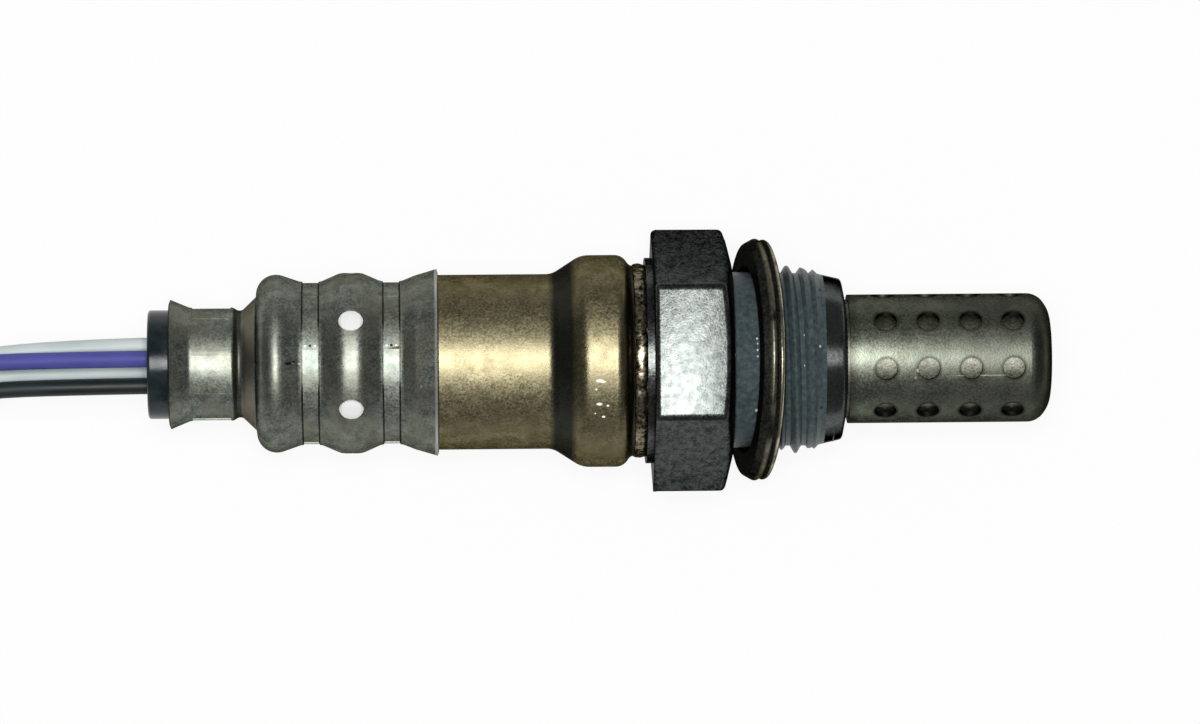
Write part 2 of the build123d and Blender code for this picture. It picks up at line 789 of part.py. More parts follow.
def connector_wire_seal():
    """Rubber mat in the plug's rear with a hole for each lead."""
    wall = 2 * (pocket_wall + fit_gap)
    rear_x = plug_rear_x - mat_seal_inset
    mat = plug_block(rear_x, mat_seal_length, plug_width - wall, plug_height - wall, pocket_corner)
    for y, z in cavity_places().values():
        hole = Plane.YZ * Circle(lead_r + fit_gap)
        mat -= Pos(rear_x - mat_seal_length - 1, y, z) * extrude(hole, mat_seal_length + 2)
    return mat


def connector_front_seal():
    """Soft ring round the root of the plug's nose."""
    x = plug_rear_x - plug_length + plug_nose_length
    wall = 2 * front_seal_wall
    width, height = plug_nose_width + wall, plug_nose_height + wall
    outside = plug_block(x, front_seal_length, width, height, plug_corner + 0.4)
    return outside - plug_block(x, front_seal_length, plug_nose_width, plug_nose_height, plug_corner)


def connector_terminals():
    """Four crimped contacts in the plug: a crimp barrel on the lead and a square socket in front."""
    crimp_x = plug_rear_x - lead_in_plug
    barrel = Plane.YZ * Circle(contact_crimp_r)
    barrel = Pos(-terminal_crimp_length, 0, 0) * extrude(barrel, terminal_crimp_length)
    socket_side = cavity_side - 2 * fit_gap
    socket_x = -terminal_crimp_length - terminal_socket_length / 2
    socket = Pos(socket_x, 0, 0) * Box(terminal_socket_length, socket_side, socket_side)
    mouth = Pos(socket_x - 1, 0, 0) * Box(terminal_socket_length, cavity_mouth, cavity_mouth - 0.3)
    contact = (barrel + socket - mouth).solid()
    return Compound([Pos(crimp_x, y, z) * contact for y, z in cavity_places().values()])


talc_seal, ceramic_bush, crimp_ring = packing()
terminal_signal, terminal_ground, heater_terminals = terminals()
parts = {
    "housing": housing(),
    "sealing_gasket": gasket,
    "outer_protection_tube": outer_protection_tube(),
    "inner_protection_tube": inner_protection_tube(),
    "air_side_cover": air_side_cover(),
    "filter_cover": filter_cover(),
    "vent_filter": vent_filter(),
    "zirconia_element": zirconia_element(),
    "heater_rod": heater_rod(),
    "seat_washer": seat_washer(),
    "talc_seal": talc_seal,
    "ceramic_bush": ceramic_bush,
    "crimp_ring": crimp_ring,
    "contact_separator": contact_separator(),
    "disc_spring": disc_spring(),
    "terminal_signal": terminal_signal,
    "terminal_ground": terminal_ground,
    "terminal_heater_a": heater_terminals[0],
    "terminal_heater_b": heater_terminals[1],
    "lead_grommet": lead_grommet(),
    "lead_coil": lead_coil(),
    "coil_tie": coil_tie(),
    "connector_housing": connector_housing(),
    "connector_lock": connector_lock(),
    "connector_wire_seal": connector_wire_seal(),
    "connector_front_seal": connector_front_seal(),
    "connector_terminals": connector_terminals(),
}
for lead_name in lead_angles:
    parts["lead_" + lead_name] = lead(lead_name)

os.makedirs("parts", exist_ok=True)
for node, shape in parts.items():
    export_step(shape, f"parts/{node}.step")
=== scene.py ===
from math import cos, pi, radians, sin

import bmesh
import bpy
from mathutils import Euler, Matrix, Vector


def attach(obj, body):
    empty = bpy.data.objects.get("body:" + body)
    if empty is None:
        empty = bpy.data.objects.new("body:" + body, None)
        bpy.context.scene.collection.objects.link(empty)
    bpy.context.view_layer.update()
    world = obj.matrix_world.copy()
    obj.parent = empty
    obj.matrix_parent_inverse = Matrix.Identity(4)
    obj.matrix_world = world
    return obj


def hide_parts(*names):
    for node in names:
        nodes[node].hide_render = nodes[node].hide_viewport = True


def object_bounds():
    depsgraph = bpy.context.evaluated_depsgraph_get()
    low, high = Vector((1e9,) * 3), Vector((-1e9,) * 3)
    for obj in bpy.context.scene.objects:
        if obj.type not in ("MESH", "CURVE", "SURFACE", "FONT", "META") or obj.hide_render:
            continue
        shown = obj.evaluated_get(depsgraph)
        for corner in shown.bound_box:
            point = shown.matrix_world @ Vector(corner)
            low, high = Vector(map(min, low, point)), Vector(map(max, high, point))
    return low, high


# An oxygen sensor that lies on a white table and is seen from above. Lengths are in metres. +X
# runs along the sensor's axis to its perforated tip and +Z is up. The origin is on the axis, in
# the plane of the hexagon's sealing face.
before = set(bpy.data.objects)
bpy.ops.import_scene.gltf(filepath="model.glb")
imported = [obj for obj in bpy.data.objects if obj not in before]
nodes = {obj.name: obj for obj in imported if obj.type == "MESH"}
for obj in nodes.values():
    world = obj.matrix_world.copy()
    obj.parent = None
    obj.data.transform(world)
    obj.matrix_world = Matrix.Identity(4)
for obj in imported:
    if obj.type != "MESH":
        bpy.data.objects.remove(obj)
cad_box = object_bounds()
bpy.ops.object.select_all(action="DESELECT")

# Housing. One turned steel piece, zinc-plated and dull from heat: a hexagon for the wrench, the
# relief that the gasket hangs on, and an M18 x 1.5 thread that runs out on the bare lead-in cone.
# The relief and the thread are smeared with grey anti-seize paste.
across_flats = 0.022
hexagon_length = 0.0076
edge_rounding = 0.0005
thread_pitch = 0.0015
thread_r = 0.009
thread_root_r = 0.00828
thread_start = 0.005
thread_end = 0.0075
thread_turns = 3.4
bare_from_x = 0.00875
close_by = 0.00002


def only(piece):
    """Makes a piece the one that the next operators act on."""
    bpy.ops.object.select_all(action="DESELECT")
    piece.select_set(True)
    bpy.context.view_layer.objects.active = piece


def from_axis(place):
    """How far a place is from the sensor's axis."""
    return (place.y * place.y + place.z * place.z) ** 0.5


# The body is the turned solid with the thread taken down to its root
only(nodes["housing"])
bpy.ops.object.duplicate()
body = bpy.context.object
bpy.ops.object.mode_set(mode="EDIT")
bpy.ops.mesh.select_all(action="SELECT")
bpy.ops.mesh.remove_doubles(threshold=0.000002)
bpy.ops.mesh.customdata_custom_splitnormals_clear()
bpy.ops.mesh.select_all(action="DESELECT")
bpy.ops.object.mode_set(mode="OBJECT")
for vertex in body.data.vertices:
    on_crest = abs(from_axis(vertex.co) - thread_r) < close_by
    vertex.select = on_crest and thread_start - 0.0001 < vertex.co.x < thread_end + 0.0001
bpy.ops.object.mode_set(mode="EDIT")
root_scale = thread_root_r / thread_r
bpy.ops.transform.resize(value=(1, root_scale, root_scale), center_override=(0, 0, 0))
bpy.ops.mesh.select_all(action="SELECT")
bpy.ops.mesh.dissolve_limited(angle_limit=radians(0.5))
bpy.ops.mesh.select_all(action="DESELECT")
bpy.ops.object.mode_set(mode="OBJECT")

# The hexagon's edges are rounded a little, and an edge is cut where the bare cone starts
shape = bmesh.new()
shape.from_mesh(body.data)
for edge in shape.edges:
    ends = [vertex.co for vertex in edge.verts]
    outside = all(from_axis(end) > across_flats / 2 - close_by for end in ends)
    on_hexagon = all(-hexagon_length - 0.00001 < end.x < 0.00001 for end in ends)
    sharp = len(edge.link_faces) == 2 and edge.calc_face_angle() > radians(12)
    edge.select = outside and on_hexagon and sharp
shape.to_mesh(body.data)
shape.free()
bpy.ops.object.mode_set(mode="EDIT")
bpy.ops.mesh.select_mode(type="EDGE")
bpy.ops.mesh.bevel(offset=edge_rounding, segments=5, affect="EDGES")
bpy.ops.mesh.select_all(action="SELECT")
bpy.ops.mesh.bisect(plane_co=(bare_from_x, 0, 0), plane_no=(1, 0, 0))
bpy.ops.mesh.select_all(action="SELECT")
bpy.ops.mesh.quads_convert_to_tris()
bpy.ops.object.mode_set(mode="OBJECT")
bpy.ops.object.shade_smooth_by_angle(angle=radians(28))


def modified(piece, kind, **settings):
    """Adds a modifier to a piece, sets it and applies it."""
    only(piece)
    bpy.ops.object.modifier_add(type=kind)
    modifier = piece.modifiers[-1]
    for name, value in settings.items():
        setattr(modifier, name, value)
    bpy.ops.object.modifier_apply(modifier=modifier.name)


# The thread's ridge: a profile screwed round the axis, right-handed. The profile is (x, radius)
# in millimetres, up one flank, over the crest and down the other.
ridge_start_x = 0.004215
ridge_steps = int(96 * thread_turns)
profile = [(-0.66, 7.9), (-0.64, 8.1), (-0.4, 8.5), (-0.17, 8.9), (-0.07, 8.99)]
profile += [(-x, r) for x, r in reversed(profile)]
bpy.ops.object.select_all(action="DESELECT")
bpy.ops.mesh.primitive_circle_add(
    vertices=len(profile), radius=thread_pitch / 2, rotation=(pi / 2, 0, 0)
)
ridge = bpy.context.object
bpy.ops.object.transform_apply(location=True, rotation=True, scale=True)
for vertex, (x, r) in zip(ridge.data.vertices, profile):
    vertex.co = (ridge_start_x + x / 1000, 0, r / 1000)
modified(
    ridge,
    "SCREW",
    axis="X",
    angle=2 * pi * thread_turns,
    screw_offset=thread_pitch * thread_turns,
    steps=ridge_steps,
    render_steps=ridge_steps,
)

# It rises out of the relief at one end, and is cut down to the lead-in cone at the other
run_in_x, run_in_r, run_in_slope = 0.0044, 0.0083, 1.1
run_out_x, run_out_slope = 0.0062, 0.37
buried_r = 0.0079
for vertex in ridge.data.vertices:
    x, y, z = vertex.co
    rising_r = run_in_r + run_in_slope * max(0.0, x - run_in_x)
    falling_r = thread_r - run_out_slope * max(0.0, x - run_out_x)
    shorter = min(1.0, max(buried_r, min(rising_r, falling_r)) / from_axis(vertex.co))
    vertex.co = (x, y * shorter, z * shorter)
bpy.ops.object.mode_set(mode="EDIT")
bpy.ops.mesh.select_all(action="SELECT")
bpy.ops.mesh.fill_holes(sides=0)
bpy.ops.mesh.normals_make_consistent(inside=False)
bpy.ops.object.mode_set(mode="OBJECT")
bpy.ops.object.shade_smooth_by_angle(angle=radians(40))


def new_finish(name):
    """A new material with its node tree, its shader and an Object coordinate output to read."""
    material = bpy.data.materials.new(name)
    material.use_nodes = True
    tree = material.node_tree
    place = tree.nodes.new("ShaderNodeTexCoord").outputs["Object"]
    return material, tree, tree.nodes["Principled BSDF"], place


def mottle(tree, place, size, detail=3.0, roughness=0.55, stretch=(1, 1, 1)):
    """Noise in patches about `size` across, longer along an axis where `stretch` is over 1."""
    mapping = tree.nodes.new("ShaderNodeMapping")
    mapping.inputs["Scale"].default_value = [1 / part for part in stretch]
    tree.links.new(place, mapping.inputs["Vector"])
    noise = tree.nodes.new("ShaderNodeTexNoise")
    noise.inputs["Scale"].default_value = 1 / size
    noise.inputs["Detail"].default_value = detail
    noise.inputs["Roughness"].default_value = roughness
    tree.links.new(mapping.outputs["Vector"], noise.inputs["Vector"])
    return noise.outputs["Fac"]


def shade_between(tree, amount, *stops):
    """A colour ramp over `amount`. Each stop is (position, colour)."""
    ramp = tree.nodes.new("ShaderNodeValToRGB")
    elements = ramp.color_ramp.elements
    while len(elements) < len(stops):
        elements.new(0.5)
    for element, (position, colour) in zip(elements, stops):
        element.position = position
        element.color = (*colour, 1)
    tree.links.new(amount, ramp.inputs["Fac"])
    return ramp.outputs["Color"]


def scaled(tree, amount, from_low, from_high, to_low, to_high):
    """`amount` moved from one range of values to another and held inside it."""
    remap = tree.nodes.new("ShaderNodeMapRange")
    values = {"From Min": from_low, "From Max": from_high, "To Min": to_low, "To Max": to_high}
    for name, value in values.items():
        remap.inputs[name].default_value = value
    tree.links.new(amount, remap.inputs["Value"])
    return remap.outputs["Result"]


def worked(tree, operation, first, second):
    """One sum on two amounts, each an output or a number."""
    node = tree.nodes.new("ShaderNodeMath")
    node.operation = operation
    for socket, amount in zip(node.inputs, (first, second)):
        if isinstance(amount, (int, float)):
            socket.default_value = amount
        else:
            tree.links.new(amount, socket)
    return node.outputs[0]


def raised(tree, height, depth, under=None):
    """A bump of `depth` metres over `height`, on top of another bump where one is given."""
    bump = tree.nodes.new("ShaderNodeBump")
    bump.inputs["Distance"].default_value = depth
    bump.inputs["Strength"].default_value = 1.0
    tree.links.new(height, bump.inputs["Height"])
    if under is not None:
        tree.links.new(under, bump.inputs["Normal"])
    return bump.outputs["Normal"]


def satin_steel(name, dark, light, patch, grain, roughness, bump=0.00002):
    """Sheet or turned steel: cloudy patches of two tones, and a fine grain in tone and height.

    Returns what a piece's own marks are added to."""
    material, tree, shader, place = new_finish(name)
    cloud = mottle(tree, place, patch, detail=5, roughness=0.6)
    grains = mottle(tree, place, grain, detail=2)
    half_grains = worked(tree, "MULTIPLY", grains, 0.5)
    tone = worked(tree, "ADD", half_grains, worked(tree, "MULTIPLY", cloud, 0.5))
    colour = shade_between(tree, tone, (0.4, dark), (0.6, light))
    sheen = scaled(tree, grains, 0.3, 0.7, *roughness)
    normal = raised(tree, grains, bump)
    tree.links.new(colour, shader.inputs["Base Color"])
    tree.links.new(sheen, shader.inputs["Roughness"])
    tree.links.new(normal, shader.inputs["Normal"])
    shader.inputs["Metallic"].default_value = 1.0
    shader.inputs["Specular Tint"].default_value = (0.04, 0.04, 0.04, 1)
    return material, tree, shader, place, colour, sheen, normal


def along(tree, place, axis):
    """The X, Y or Z of a place, in metres."""
    split = tree.nodes.new("ShaderNodeSeparateXYZ")
    tree.links.new(place, split.inputs[0])
    return split.outputs[axis]


# Plating on the hexagon, and paste from the seat to the lead-in cone
plated_steel, tree, shader, place, colour, sheen, normal = satin_steel(
    "plated_steel",
    dark=(0.045, 0.05, 0.048),
    light=(0.115, 0.123, 0.117),
    patch=0.0007,
    grain=0.00022,
    roughness=(0.24, 0.36),
    bump=0.000012,
)
x = along(tree, place, "X")
smear = mottle(tree, place, 0.0013, detail=4)
ragged = worked(tree, "ADD", x, scaled(tree, smear, 0.3, 0.7, -0.00006, 0.00006))
pasted = scaled(tree, ragged, 0.00002, 0.00014, 0, 1)
paste_grains = mottle(tree, place, 0.0005, detail=5, roughness=0.65)
paste_tone_and_glints = shade_between(
    tree,
    paste_grains,
    (0.3, (0.03, 0.044, 0.047)),
    (0.55, (0.062, 0.084, 0.088)),
    (0.75, (0.1, 0.13, 0.13)),
)


def spot(tree, place, centre, radius, stretch):
    """1 at a mark on the surface and 0 outside its radius, longer where `stretch` is over 1."""
    mapping = tree.nodes.new("ShaderNodeMapping")
    mapping.inputs["Location"].default_value = [-c / s for c, s in zip(centre, stretch)]
    mapping.inputs["Scale"].default_value = [1 / s for s in stretch]
    tree.links.new(place, mapping.inputs["Vector"])
    far = tree.nodes.new("ShaderNodeVectorMath")
    far.operation = "LENGTH"
    tree.links.new(mapping.outputs["Vector"], far.inputs[0])
    return scaled(tree, far.outputs["Value"], radius * 0.6, radius, 1, 0)


def marks(tree, place, surface_r, *places):
    """Small marks on the upper side of a round surface. Each place is (x, y, size, length)."""
    found = 0.0
    for mark_x, mark_y, size, length in places:
        mark_z = (surface_r**2 - mark_y**2) ** 0.5
        mark = spot(tree, place, (mark_x, mark_y, mark_z), size, (length, 1, 5))
        found = worked(tree, "MAXIMUM", mark, found)
    return found


def mixed(tree, amount, first, second):
    """One colour where `amount` is 0 and the other where it is 1."""
    mix = tree.nodes.new("ShaderNodeMix")
    mix.data_type = "RGBA"
    tree.links.new(amount, mix.inputs["Factor"])
    for socket, colour in ((mix.inputs[6], first), (mix.inputs[7], second)):
        if isinstance(colour, tuple):
            socket.default_value = (*colour, 1)
        else:
            tree.links.new(colour, socket)
    return mix.outputs[2]


def blended(tree, amount, first, second):
    """One amount where `amount` is 0 and the other where it is 1, each an output or a number."""
    mix = tree.nodes.new("ShaderNodeMix")
    mix.data_type = "FLOAT"
    tree.links.new(amount, mix.inputs[0])
    for socket, value in ((mix.inputs[2], first), (mix.inputs[3], second)):
        if isinstance(value, (int, float)):
            socket.default_value = value
        else:
            tree.links.new(value, socket)
    return mix.outputs[0]


# Painted glints of light colour in the paste, and chips where it has come off the edges
painted_glint_r = 0.0084
chipped_r = 0.0083
painted_glints = marks(
    tree,
    place,
    painted_glint_r,
    (0.00212, 0.0014, 0.00012, 1),
    (0.00216, 0.0009, 0.00009, 1),
    (0.00214, 0.0003, 0.00013, 0.8),
    (0.00216, -0.0003, 0.0001, 1),
    (0.0021, -0.0053, 0.00016, 1.2),
    (0.0081, 0.0006, 0.00015, 0.8),
    (0.0066, 0.0017, 0.00009, 0.7),
    (0.0066, -0.0012, 0.00009, 0.7),
)
chips = marks(
    tree,
    place,
    chipped_r,
    (0.0083, 0.0062, 0.0002, 0.9),
    (0.0081, 0.0054, 0.00014, 1),
    (0.0082, -0.0051, 0.00018, 0.9),
    (0.00225, 0.0061, 0.00016, 0.8),
)
# The glints are a painted highlight, laid into the paste's colour
paste_tone_and_glints = mixed(tree, painted_glints, paste_tone_and_glints, (0.6, 0.66, 0.66))
paste_tone_and_glints = mixed(tree, chips, paste_tone_and_glints, (0.008, 0.01, 0.01))
tree.links.new(mixed(tree, pasted, colour, paste_tone_and_glints), shader.inputs["Base Color"])
tree.links.new(scaled(tree, pasted, 0, 1, 1, 0), shader.inputs["Metallic"])
paste_sheen = scaled(tree, paste_grains, 0.3, 0.7, 0.34, 0.52)
tree.links.new(blended(tree, pasted, sheen, paste_sheen), shader.inputs["Roughness"])
paste_bump = raised(tree, worked(tree, "MULTIPLY", smear, pasted), 0.0001, under=normal)
tree.links.new(paste_bump, shader.inputs["Normal"])


def finished(piece, name, material, node=None):
    """Names a new piece, dresses it, and puts it on the one body, in a CAD node's place."""
    piece.name = name
    piece.data.materials.clear()
    piece.data.materials.append(material)
    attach(piece, "root")
    if node:
        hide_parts(node)


def drawn_out(tree, shader, amount, turn):
    """Stretches highlights round the axis where `turn` is 0, and along it where it is 0.25."""
    shader.inputs["Anisotropic"].default_value = amount
    shader.inputs["Anisotropic Rotation"].default_value = turn
    round_axis = tree.nodes.new("ShaderNodeTangent")
    round_axis.direction_type = "RADIAL"
    round_axis.axis = "X"
    tree.links.new(round_axis.outputs[0], shader.inputs["Tangent"])


finished(body, "hexagon_body", plated_steel, "housing")
finished(ridge, "thread", plated_steel, "housing")

# The lead-in cone is bare, with turning marks round it that draw the light out along the axis
turned_steel, tree, shader = satin_steel(
    "turned_steel",
    dark=(0.075, 0.08, 0.08),
    light=(0.12, 0.125, 0.125),
    patch=0.0012,
    grain=0.00025,
    roughness=(0.25, 0.3),
    bump=0.000002,
)[:3]
drawn_out(tree, shader, 0.9, turn=0.25)
body.data.materials.append(turned_steel)
for face in body.data.polygons:
    if face.center.x > bare_from_x:
        face.material_index = 1

# Element, heater and packing. The sensing element is a fired zirconia cup with a ceramic heater
# rod in it, held by pressed talc and a ceramic bush. The contacts sit in a ceramic block.
fired_ceramic, tree, shader, place = new_finish("fired_ceramic")
specks = mottle(tree, place, 0.0006)
ceramic_tone = shade_between(tree, specks, (0.3, (0.72, 0.7, 0.66)), (0.6, (0.85, 0.84, 0.8)))
tree.links.new(ceramic_tone, shader.inputs["Base Color"])
tree.links.new(scaled(tree, specks, 0.3, 0.7, 0.5, 0.68), shader.inputs["Roughness"])
tree.links.new(raised(tree, specks, 0.00001), shader.inputs["Normal"])


def dress(material, *names):
    """Gives CAD nodes their finish."""
    for name in names:
        nodes[name].material_slots[0].material = material


dress(fired_ceramic, "zirconia_element", "heater_rod", "ceramic_bush", "contact_separator")
pressed_talc, tree, shader, place = new_finish("pressed_talc")
powder = mottle(tree, place, 0.00025, detail=6, roughness=0.7)
talc_tone = shade_between(tree, powder, (0.3, (0.5, 0.5, 0.48)), (0.7, (0.72, 0.72, 0.7)))
tree.links.new(talc_tone, shader.inputs["Base Color"])
tree.links.new(raised(tree, powder, 0.00004), shader.inputs["Normal"])
shader.inputs["Roughness"].default_value = 0.9
dress(pressed_talc, "talc_seal")

# Contacts, washer, crimp ring and spring. Stamped from nickel-plated strip, or bent from wire of
# the same look. The terminals in the plug are stamped from that strip too.
nickel = satin_steel(
    "nickel",
    dark=(0.5, 0.5, 0.47),
    light=(0.6, 0.6, 0.57),
    patch=0.0008,
    grain=0.0002,
    roughness=(0.25, 0.35),
)[0]
dress(nickel, "seat_washer", "crimp_ring", "disc_spring", "terminal_signal", "terminal_ground")
dress(nickel, "terminal_heater_a", "terminal_heater_b", "connector_terminals")

# Protection tubes. Two drawn caps of heat-resistant steel, one inside the other, with punched gas
# holes. The exhaust has left the outer one grey and duller towards its end. Painted shade darkens
# its mouth by the housing and a ring round each hole.
tip_r = 0.00617
gas_hole_first_x = 0.01455
gas_hole_pitch = 0.00405
gas_holes_round = 8
gas_hole_angle = -13.5
tip_steel, tree, shader, place, colour, sheen = satin_steel(
    "tip_steel",
    dark=(0.08, 0.088, 0.069),
    light=(0.165, 0.18, 0.142),
    patch=0.0018,
    grain=0.0002,
    roughness=(0.3, 0.39),
    bump=0.00001,
)[:6]
x = along(tree, place, "X")
dulled = scaled(tree, x, 0.0125, 0.023, 0, 0.45)
soot_and_mouth_shade = scaled(tree, x, 0.0285, 0.0308, 0, 0.8)
# Painted shade at the mouth, next to the housing
mouth = scaled(tree, x, 0.0108, 0.0122, 0.8, 0)
soot_and_mouth_shade = worked(tree, "MAXIMUM", soot_and_mouth_shade, mouth)
colour = mixed(tree, dulled, colour, (0.06, 0.06, 0.05))
colour = mixed(tree, soot_and_mouth_shade, colour, (0.04, 0.038, 0.03))


def from_nearest(tree, value, first, step, step_length):
    """Metres from the nearest of a row of holes, one at `first` and the others each `step` on."""
    steps = worked(tree, "DIVIDE", worked(tree, "SUBTRACT", value, first), step)
    past_half = worked(tree, "FRACT", worked(tree, "ADD", steps, 0.5), 0)
    return worked(tree, "MULTIPLY", worked(tree, "SUBTRACT", past_half, 0.5), step_length)


def distance(tree, first, second):
    """The distance that two lengths at right angles make."""
    squares = (worked(tree, "POWER", first, 2), worked(tree, "POWER", second, 2))
    return worked(tree, "SQRT", worked(tree, "ADD", *squares), 0)


def band(tree, value, low, high, soft):
    """1 where `value` lies between two limits and 0 outside them, over a soft edge."""
    rising = scaled(tree, value, low - soft, low + soft, 0, 1)
    falling = scaled(tree, value, high - soft, high + soft, 1, 0)
    return worked(tree, "MULTIPLY", rising, falling)


# Painted shade in a ring round each gas hole, and a bright scratch and two scuffs between them
hole_step = 2 * pi / gas_holes_round
turn = worked(tree, "ARCTAN2", along(tree, place, "Y"), along(tree, place, "Z"))
from_row = from_nearest(tree, x, gas_hole_first_x, gas_hole_pitch, gas_hole_pitch)
from_hole = from_nearest(tree, turn, radians(gas_hole_angle) - pi, hole_step, hole_step * tip_r)
near_hole = scaled(tree, distance(tree, from_row, from_hole), 0.0011, 0.00135, 0.75, 0)
hole_ring_shade = worked(tree, "MULTIPLY", near_hole, band(tree, x, 0.0128, 0.0284, 0.0001))
colour = mixed(tree, hole_ring_shade, colour, (0.025, 0.025, 0.02))
scratch = spot(tree, place, (0.0236, -0.0021, 0.0058), 0.00007, (50, 1, 8))
scuffs = marks(tree, place, tip_r, (0.0176, -0.0016, 0.0002, 1.5), (0.0173, -0.0023, 0.00014, 1))
scuffs = worked(tree, "MAXIMUM", scratch, scuffs)
colour = mixed(tree, worked(tree, "MULTIPLY", scuffs, 0.35), colour, (0.6, 0.62, 0.55))
tree.links.new(colour, shader.inputs["Base Color"])
duller_sheen = worked(tree, "ADD", sheen, worked(tree, "MULTIPLY", dulled, 0.14))
tree.links.new(duller_sheen, shader.inputs["Roughness"])
drawn_out(tree, shader, 0.6, turn=0)
dress(tip_steel, "outer_protection_tube")
inner_tip_steel = satin_steel(
    "inner_tip_steel",
    dark=(0.12, 0.12, 0.095),
    light=(0.26, 0.26, 0.21),
    patch=0.0009,
    grain=0.0002,
    roughness=(0.42, 0.52),
)[0]
dress(inner_tip_steel, "inner_protection_tube")

# Sealing gasket. A ring folded from sheet steel, loose on the relief, so it leans. Its two outer
# folds carry a painted highlight in patches, and the rest is blued dark and smeared.
gasket_lean = radians(7)
gasket_middle = Vector((0.002317, 0, 0.00012))
gasket_steel, tree, shader, place, colour, sheen = satin_steel(
    "gasket_steel",
    dark=(0.017, 0.019, 0.018),
    light=(0.05, 0.05, 0.041),
    patch=0.0008,
    grain=0.0002,
    roughness=(0.38, 0.55),
)[:6]
unleant = Euler((0, -gasket_lean, 0))
upright = tree.nodes.new("ShaderNodeMapping")
upright.inputs["Rotation"].default_value = unleant
upright.inputs["Location"].default_value = -(unleant.to_matrix() @ gasket_middle)
tree.links.new(place, upright.inputs["Vector"])
upright_place = upright.outputs["Vector"]
across = along(tree, upright_place, "X")
outwards = distance(tree, along(tree, upright_place, "Y"), along(tree, upright_place, "Z"))
on_edge = scaled(tree, outwards, 0.01115, 0.01132, 0, 1)
highlight_patches = scaled(tree, mottle(tree, place, 0.0022), 0.35, 0.55, 0.35, 1)
front_fold_highlight = worked(tree, "MULTIPLY", band(tree, across, 0.00062, 0.00094, 0.00008), on_edge)
front_fold_highlight = worked(tree, "MULTIPLY", front_fold_highlight, highlight_patches)
rear_fold_highlight = worked(tree, "MULTIPLY", band(tree, across, -0.00035, 0.0001, 0.00012), on_edge)
rear_fold_highlight = worked(tree, "MULTIPLY", rear_fold_highlight, scaled(tree, highlight_patches, 0.35, 1, 0, 0.35))
fold_highlights = worked(tree, "MAXIMUM", front_fold_highlight, rear_fold_highlight)
# Painted highlight: a light colour on the outer folds, in patches
tree.links.new(mixed(tree, fold_highlights, colour, (0.5, 0.47, 0.34)), shader.inputs["Base Color"])
tree.links.new(blended(tree, fold_highlights, sheen, 0.26), shader.inputs["Roughness"])
dress(gasket_steel, "sealing_gasket")

# Air-side cover. A drawn tube swaged over the housing's folded lip and tinted bronze by heat, with
# painted shade in the crease behind its bulge and at its foot, and a few bright nicks on it.
bulge_r = 0.01015
tinted_steel, tree, shader, place, colour, sheen = satin_steel(
    "tinted_steel",
    dark=(0.116, 0.101, 0.059),
    light=(0.252, 0.221, 0.131),
    patch=0.0013,
    grain=0.00022,
    roughness=(0.31, 0.42),
    bump=0.000012,
)[:6]
x = along(tree, place, "X")
browner = scaled(tree, mottle(tree, place, 0.003, detail=4), 0.42, 0.6, 0, 0.6)
heat_tint_and_shade = mixed(tree, browner, colour, (0.152, 0.136, 0.083))
# Painted shade in the crease behind the bulge
crease_shade = band(tree, x, -0.0173, -0.0152, 0.0003)
heat_tint_and_shade = mixed(tree, worked(tree, "MULTIPLY", crease_shade, 0.85), heat_tint_and_shade, (0.028, 0.034, 0.033))
# Painted shade in the crease at the foot, next to the weld
foot_shade = scaled(tree, x, -0.0103, -0.0097, 0, 0.75)
heat_tint_and_shade = mixed(tree, foot_shade, heat_tint_and_shade, (0.035, 0.035, 0.03))
nicks = marks(
    tree,
    place,
    bulge_r,
    (-0.01284, -0.0026, 0.00016, 2.6),
    (-0.01255, -0.0027, 0.0001, 3.0),
    (-0.0132, -0.0034, 0.0001, 1.0),
    (-0.0129, -0.00475, 0.00015, 2.2),
    (-0.0121, -0.0049, 0.00011, 1.4),
    (-0.0125, -0.0059, 0.00011, 1.8),
    (-0.0133, -0.0056, 0.00008, 1.0),
)
tree.links.new(mixed(tree, nicks, heat_tint_and_shade, (0.95, 0.93, 0.85)), shader.inputs["Base Color"])
tree.links.new(blended(tree, nicks, sheen, 0.7), shader.inputs["Roughness"])
drawn_out(tree, shader, 0.72, turn=0)
dress(tinted_steel, "air_side_cover")

# Weld. A bead of melted steel that joins the cover's mouth to the housing's collar, rippled and
# bright where it is in the light, with a burnt edge.
bead_x = -0.00885
bead_r = 0.00905
bead_thickness_r = 0.00024
bead_widening = 2.6
bpy.ops.object.select_all(action="DESELECT")
bpy.ops.mesh.primitive_torus_add(
    location=(bead_x, 0, 0),
    rotation=(0, pi / 2, 0),
    major_radius=bead_r,
    minor_radius=bead_thickness_r,
    major_segments=240,
    minor_segments=14,
)
bead = bpy.context.object
bpy.ops.object.transform_apply(location=True, rotation=True, scale=True)
bpy.ops.object.mode_set(mode="EDIT")
bpy.ops.mesh.select_all(action="SELECT")
bpy.ops.transform.resize(value=(bead_widening, 1, 1), center_override=(bead_x, 0, 0))
bpy.ops.object.mode_set(mode="OBJECT")
ripples = bpy.data.textures.new("weld_ripples", "CLOUDS")
ripples.noise_scale = 0.0009
modified(bead, "DISPLACE", texture=ripples, texture_coords="LOCAL", strength=0.0003, mid_level=0.5)
bpy.ops.object.shade_smooth_by_angle(angle=radians(60))
weld_steel = satin_steel(
    "weld_steel",
    dark=(0.02, 0.02, 0.017),
    light=(0.32, 0.285, 0.2),
    patch=0.0011,
    grain=0.0003,
    roughness=(0.24, 0.38),
)[0]
finished(bead, "weld_bead", weld_steel)

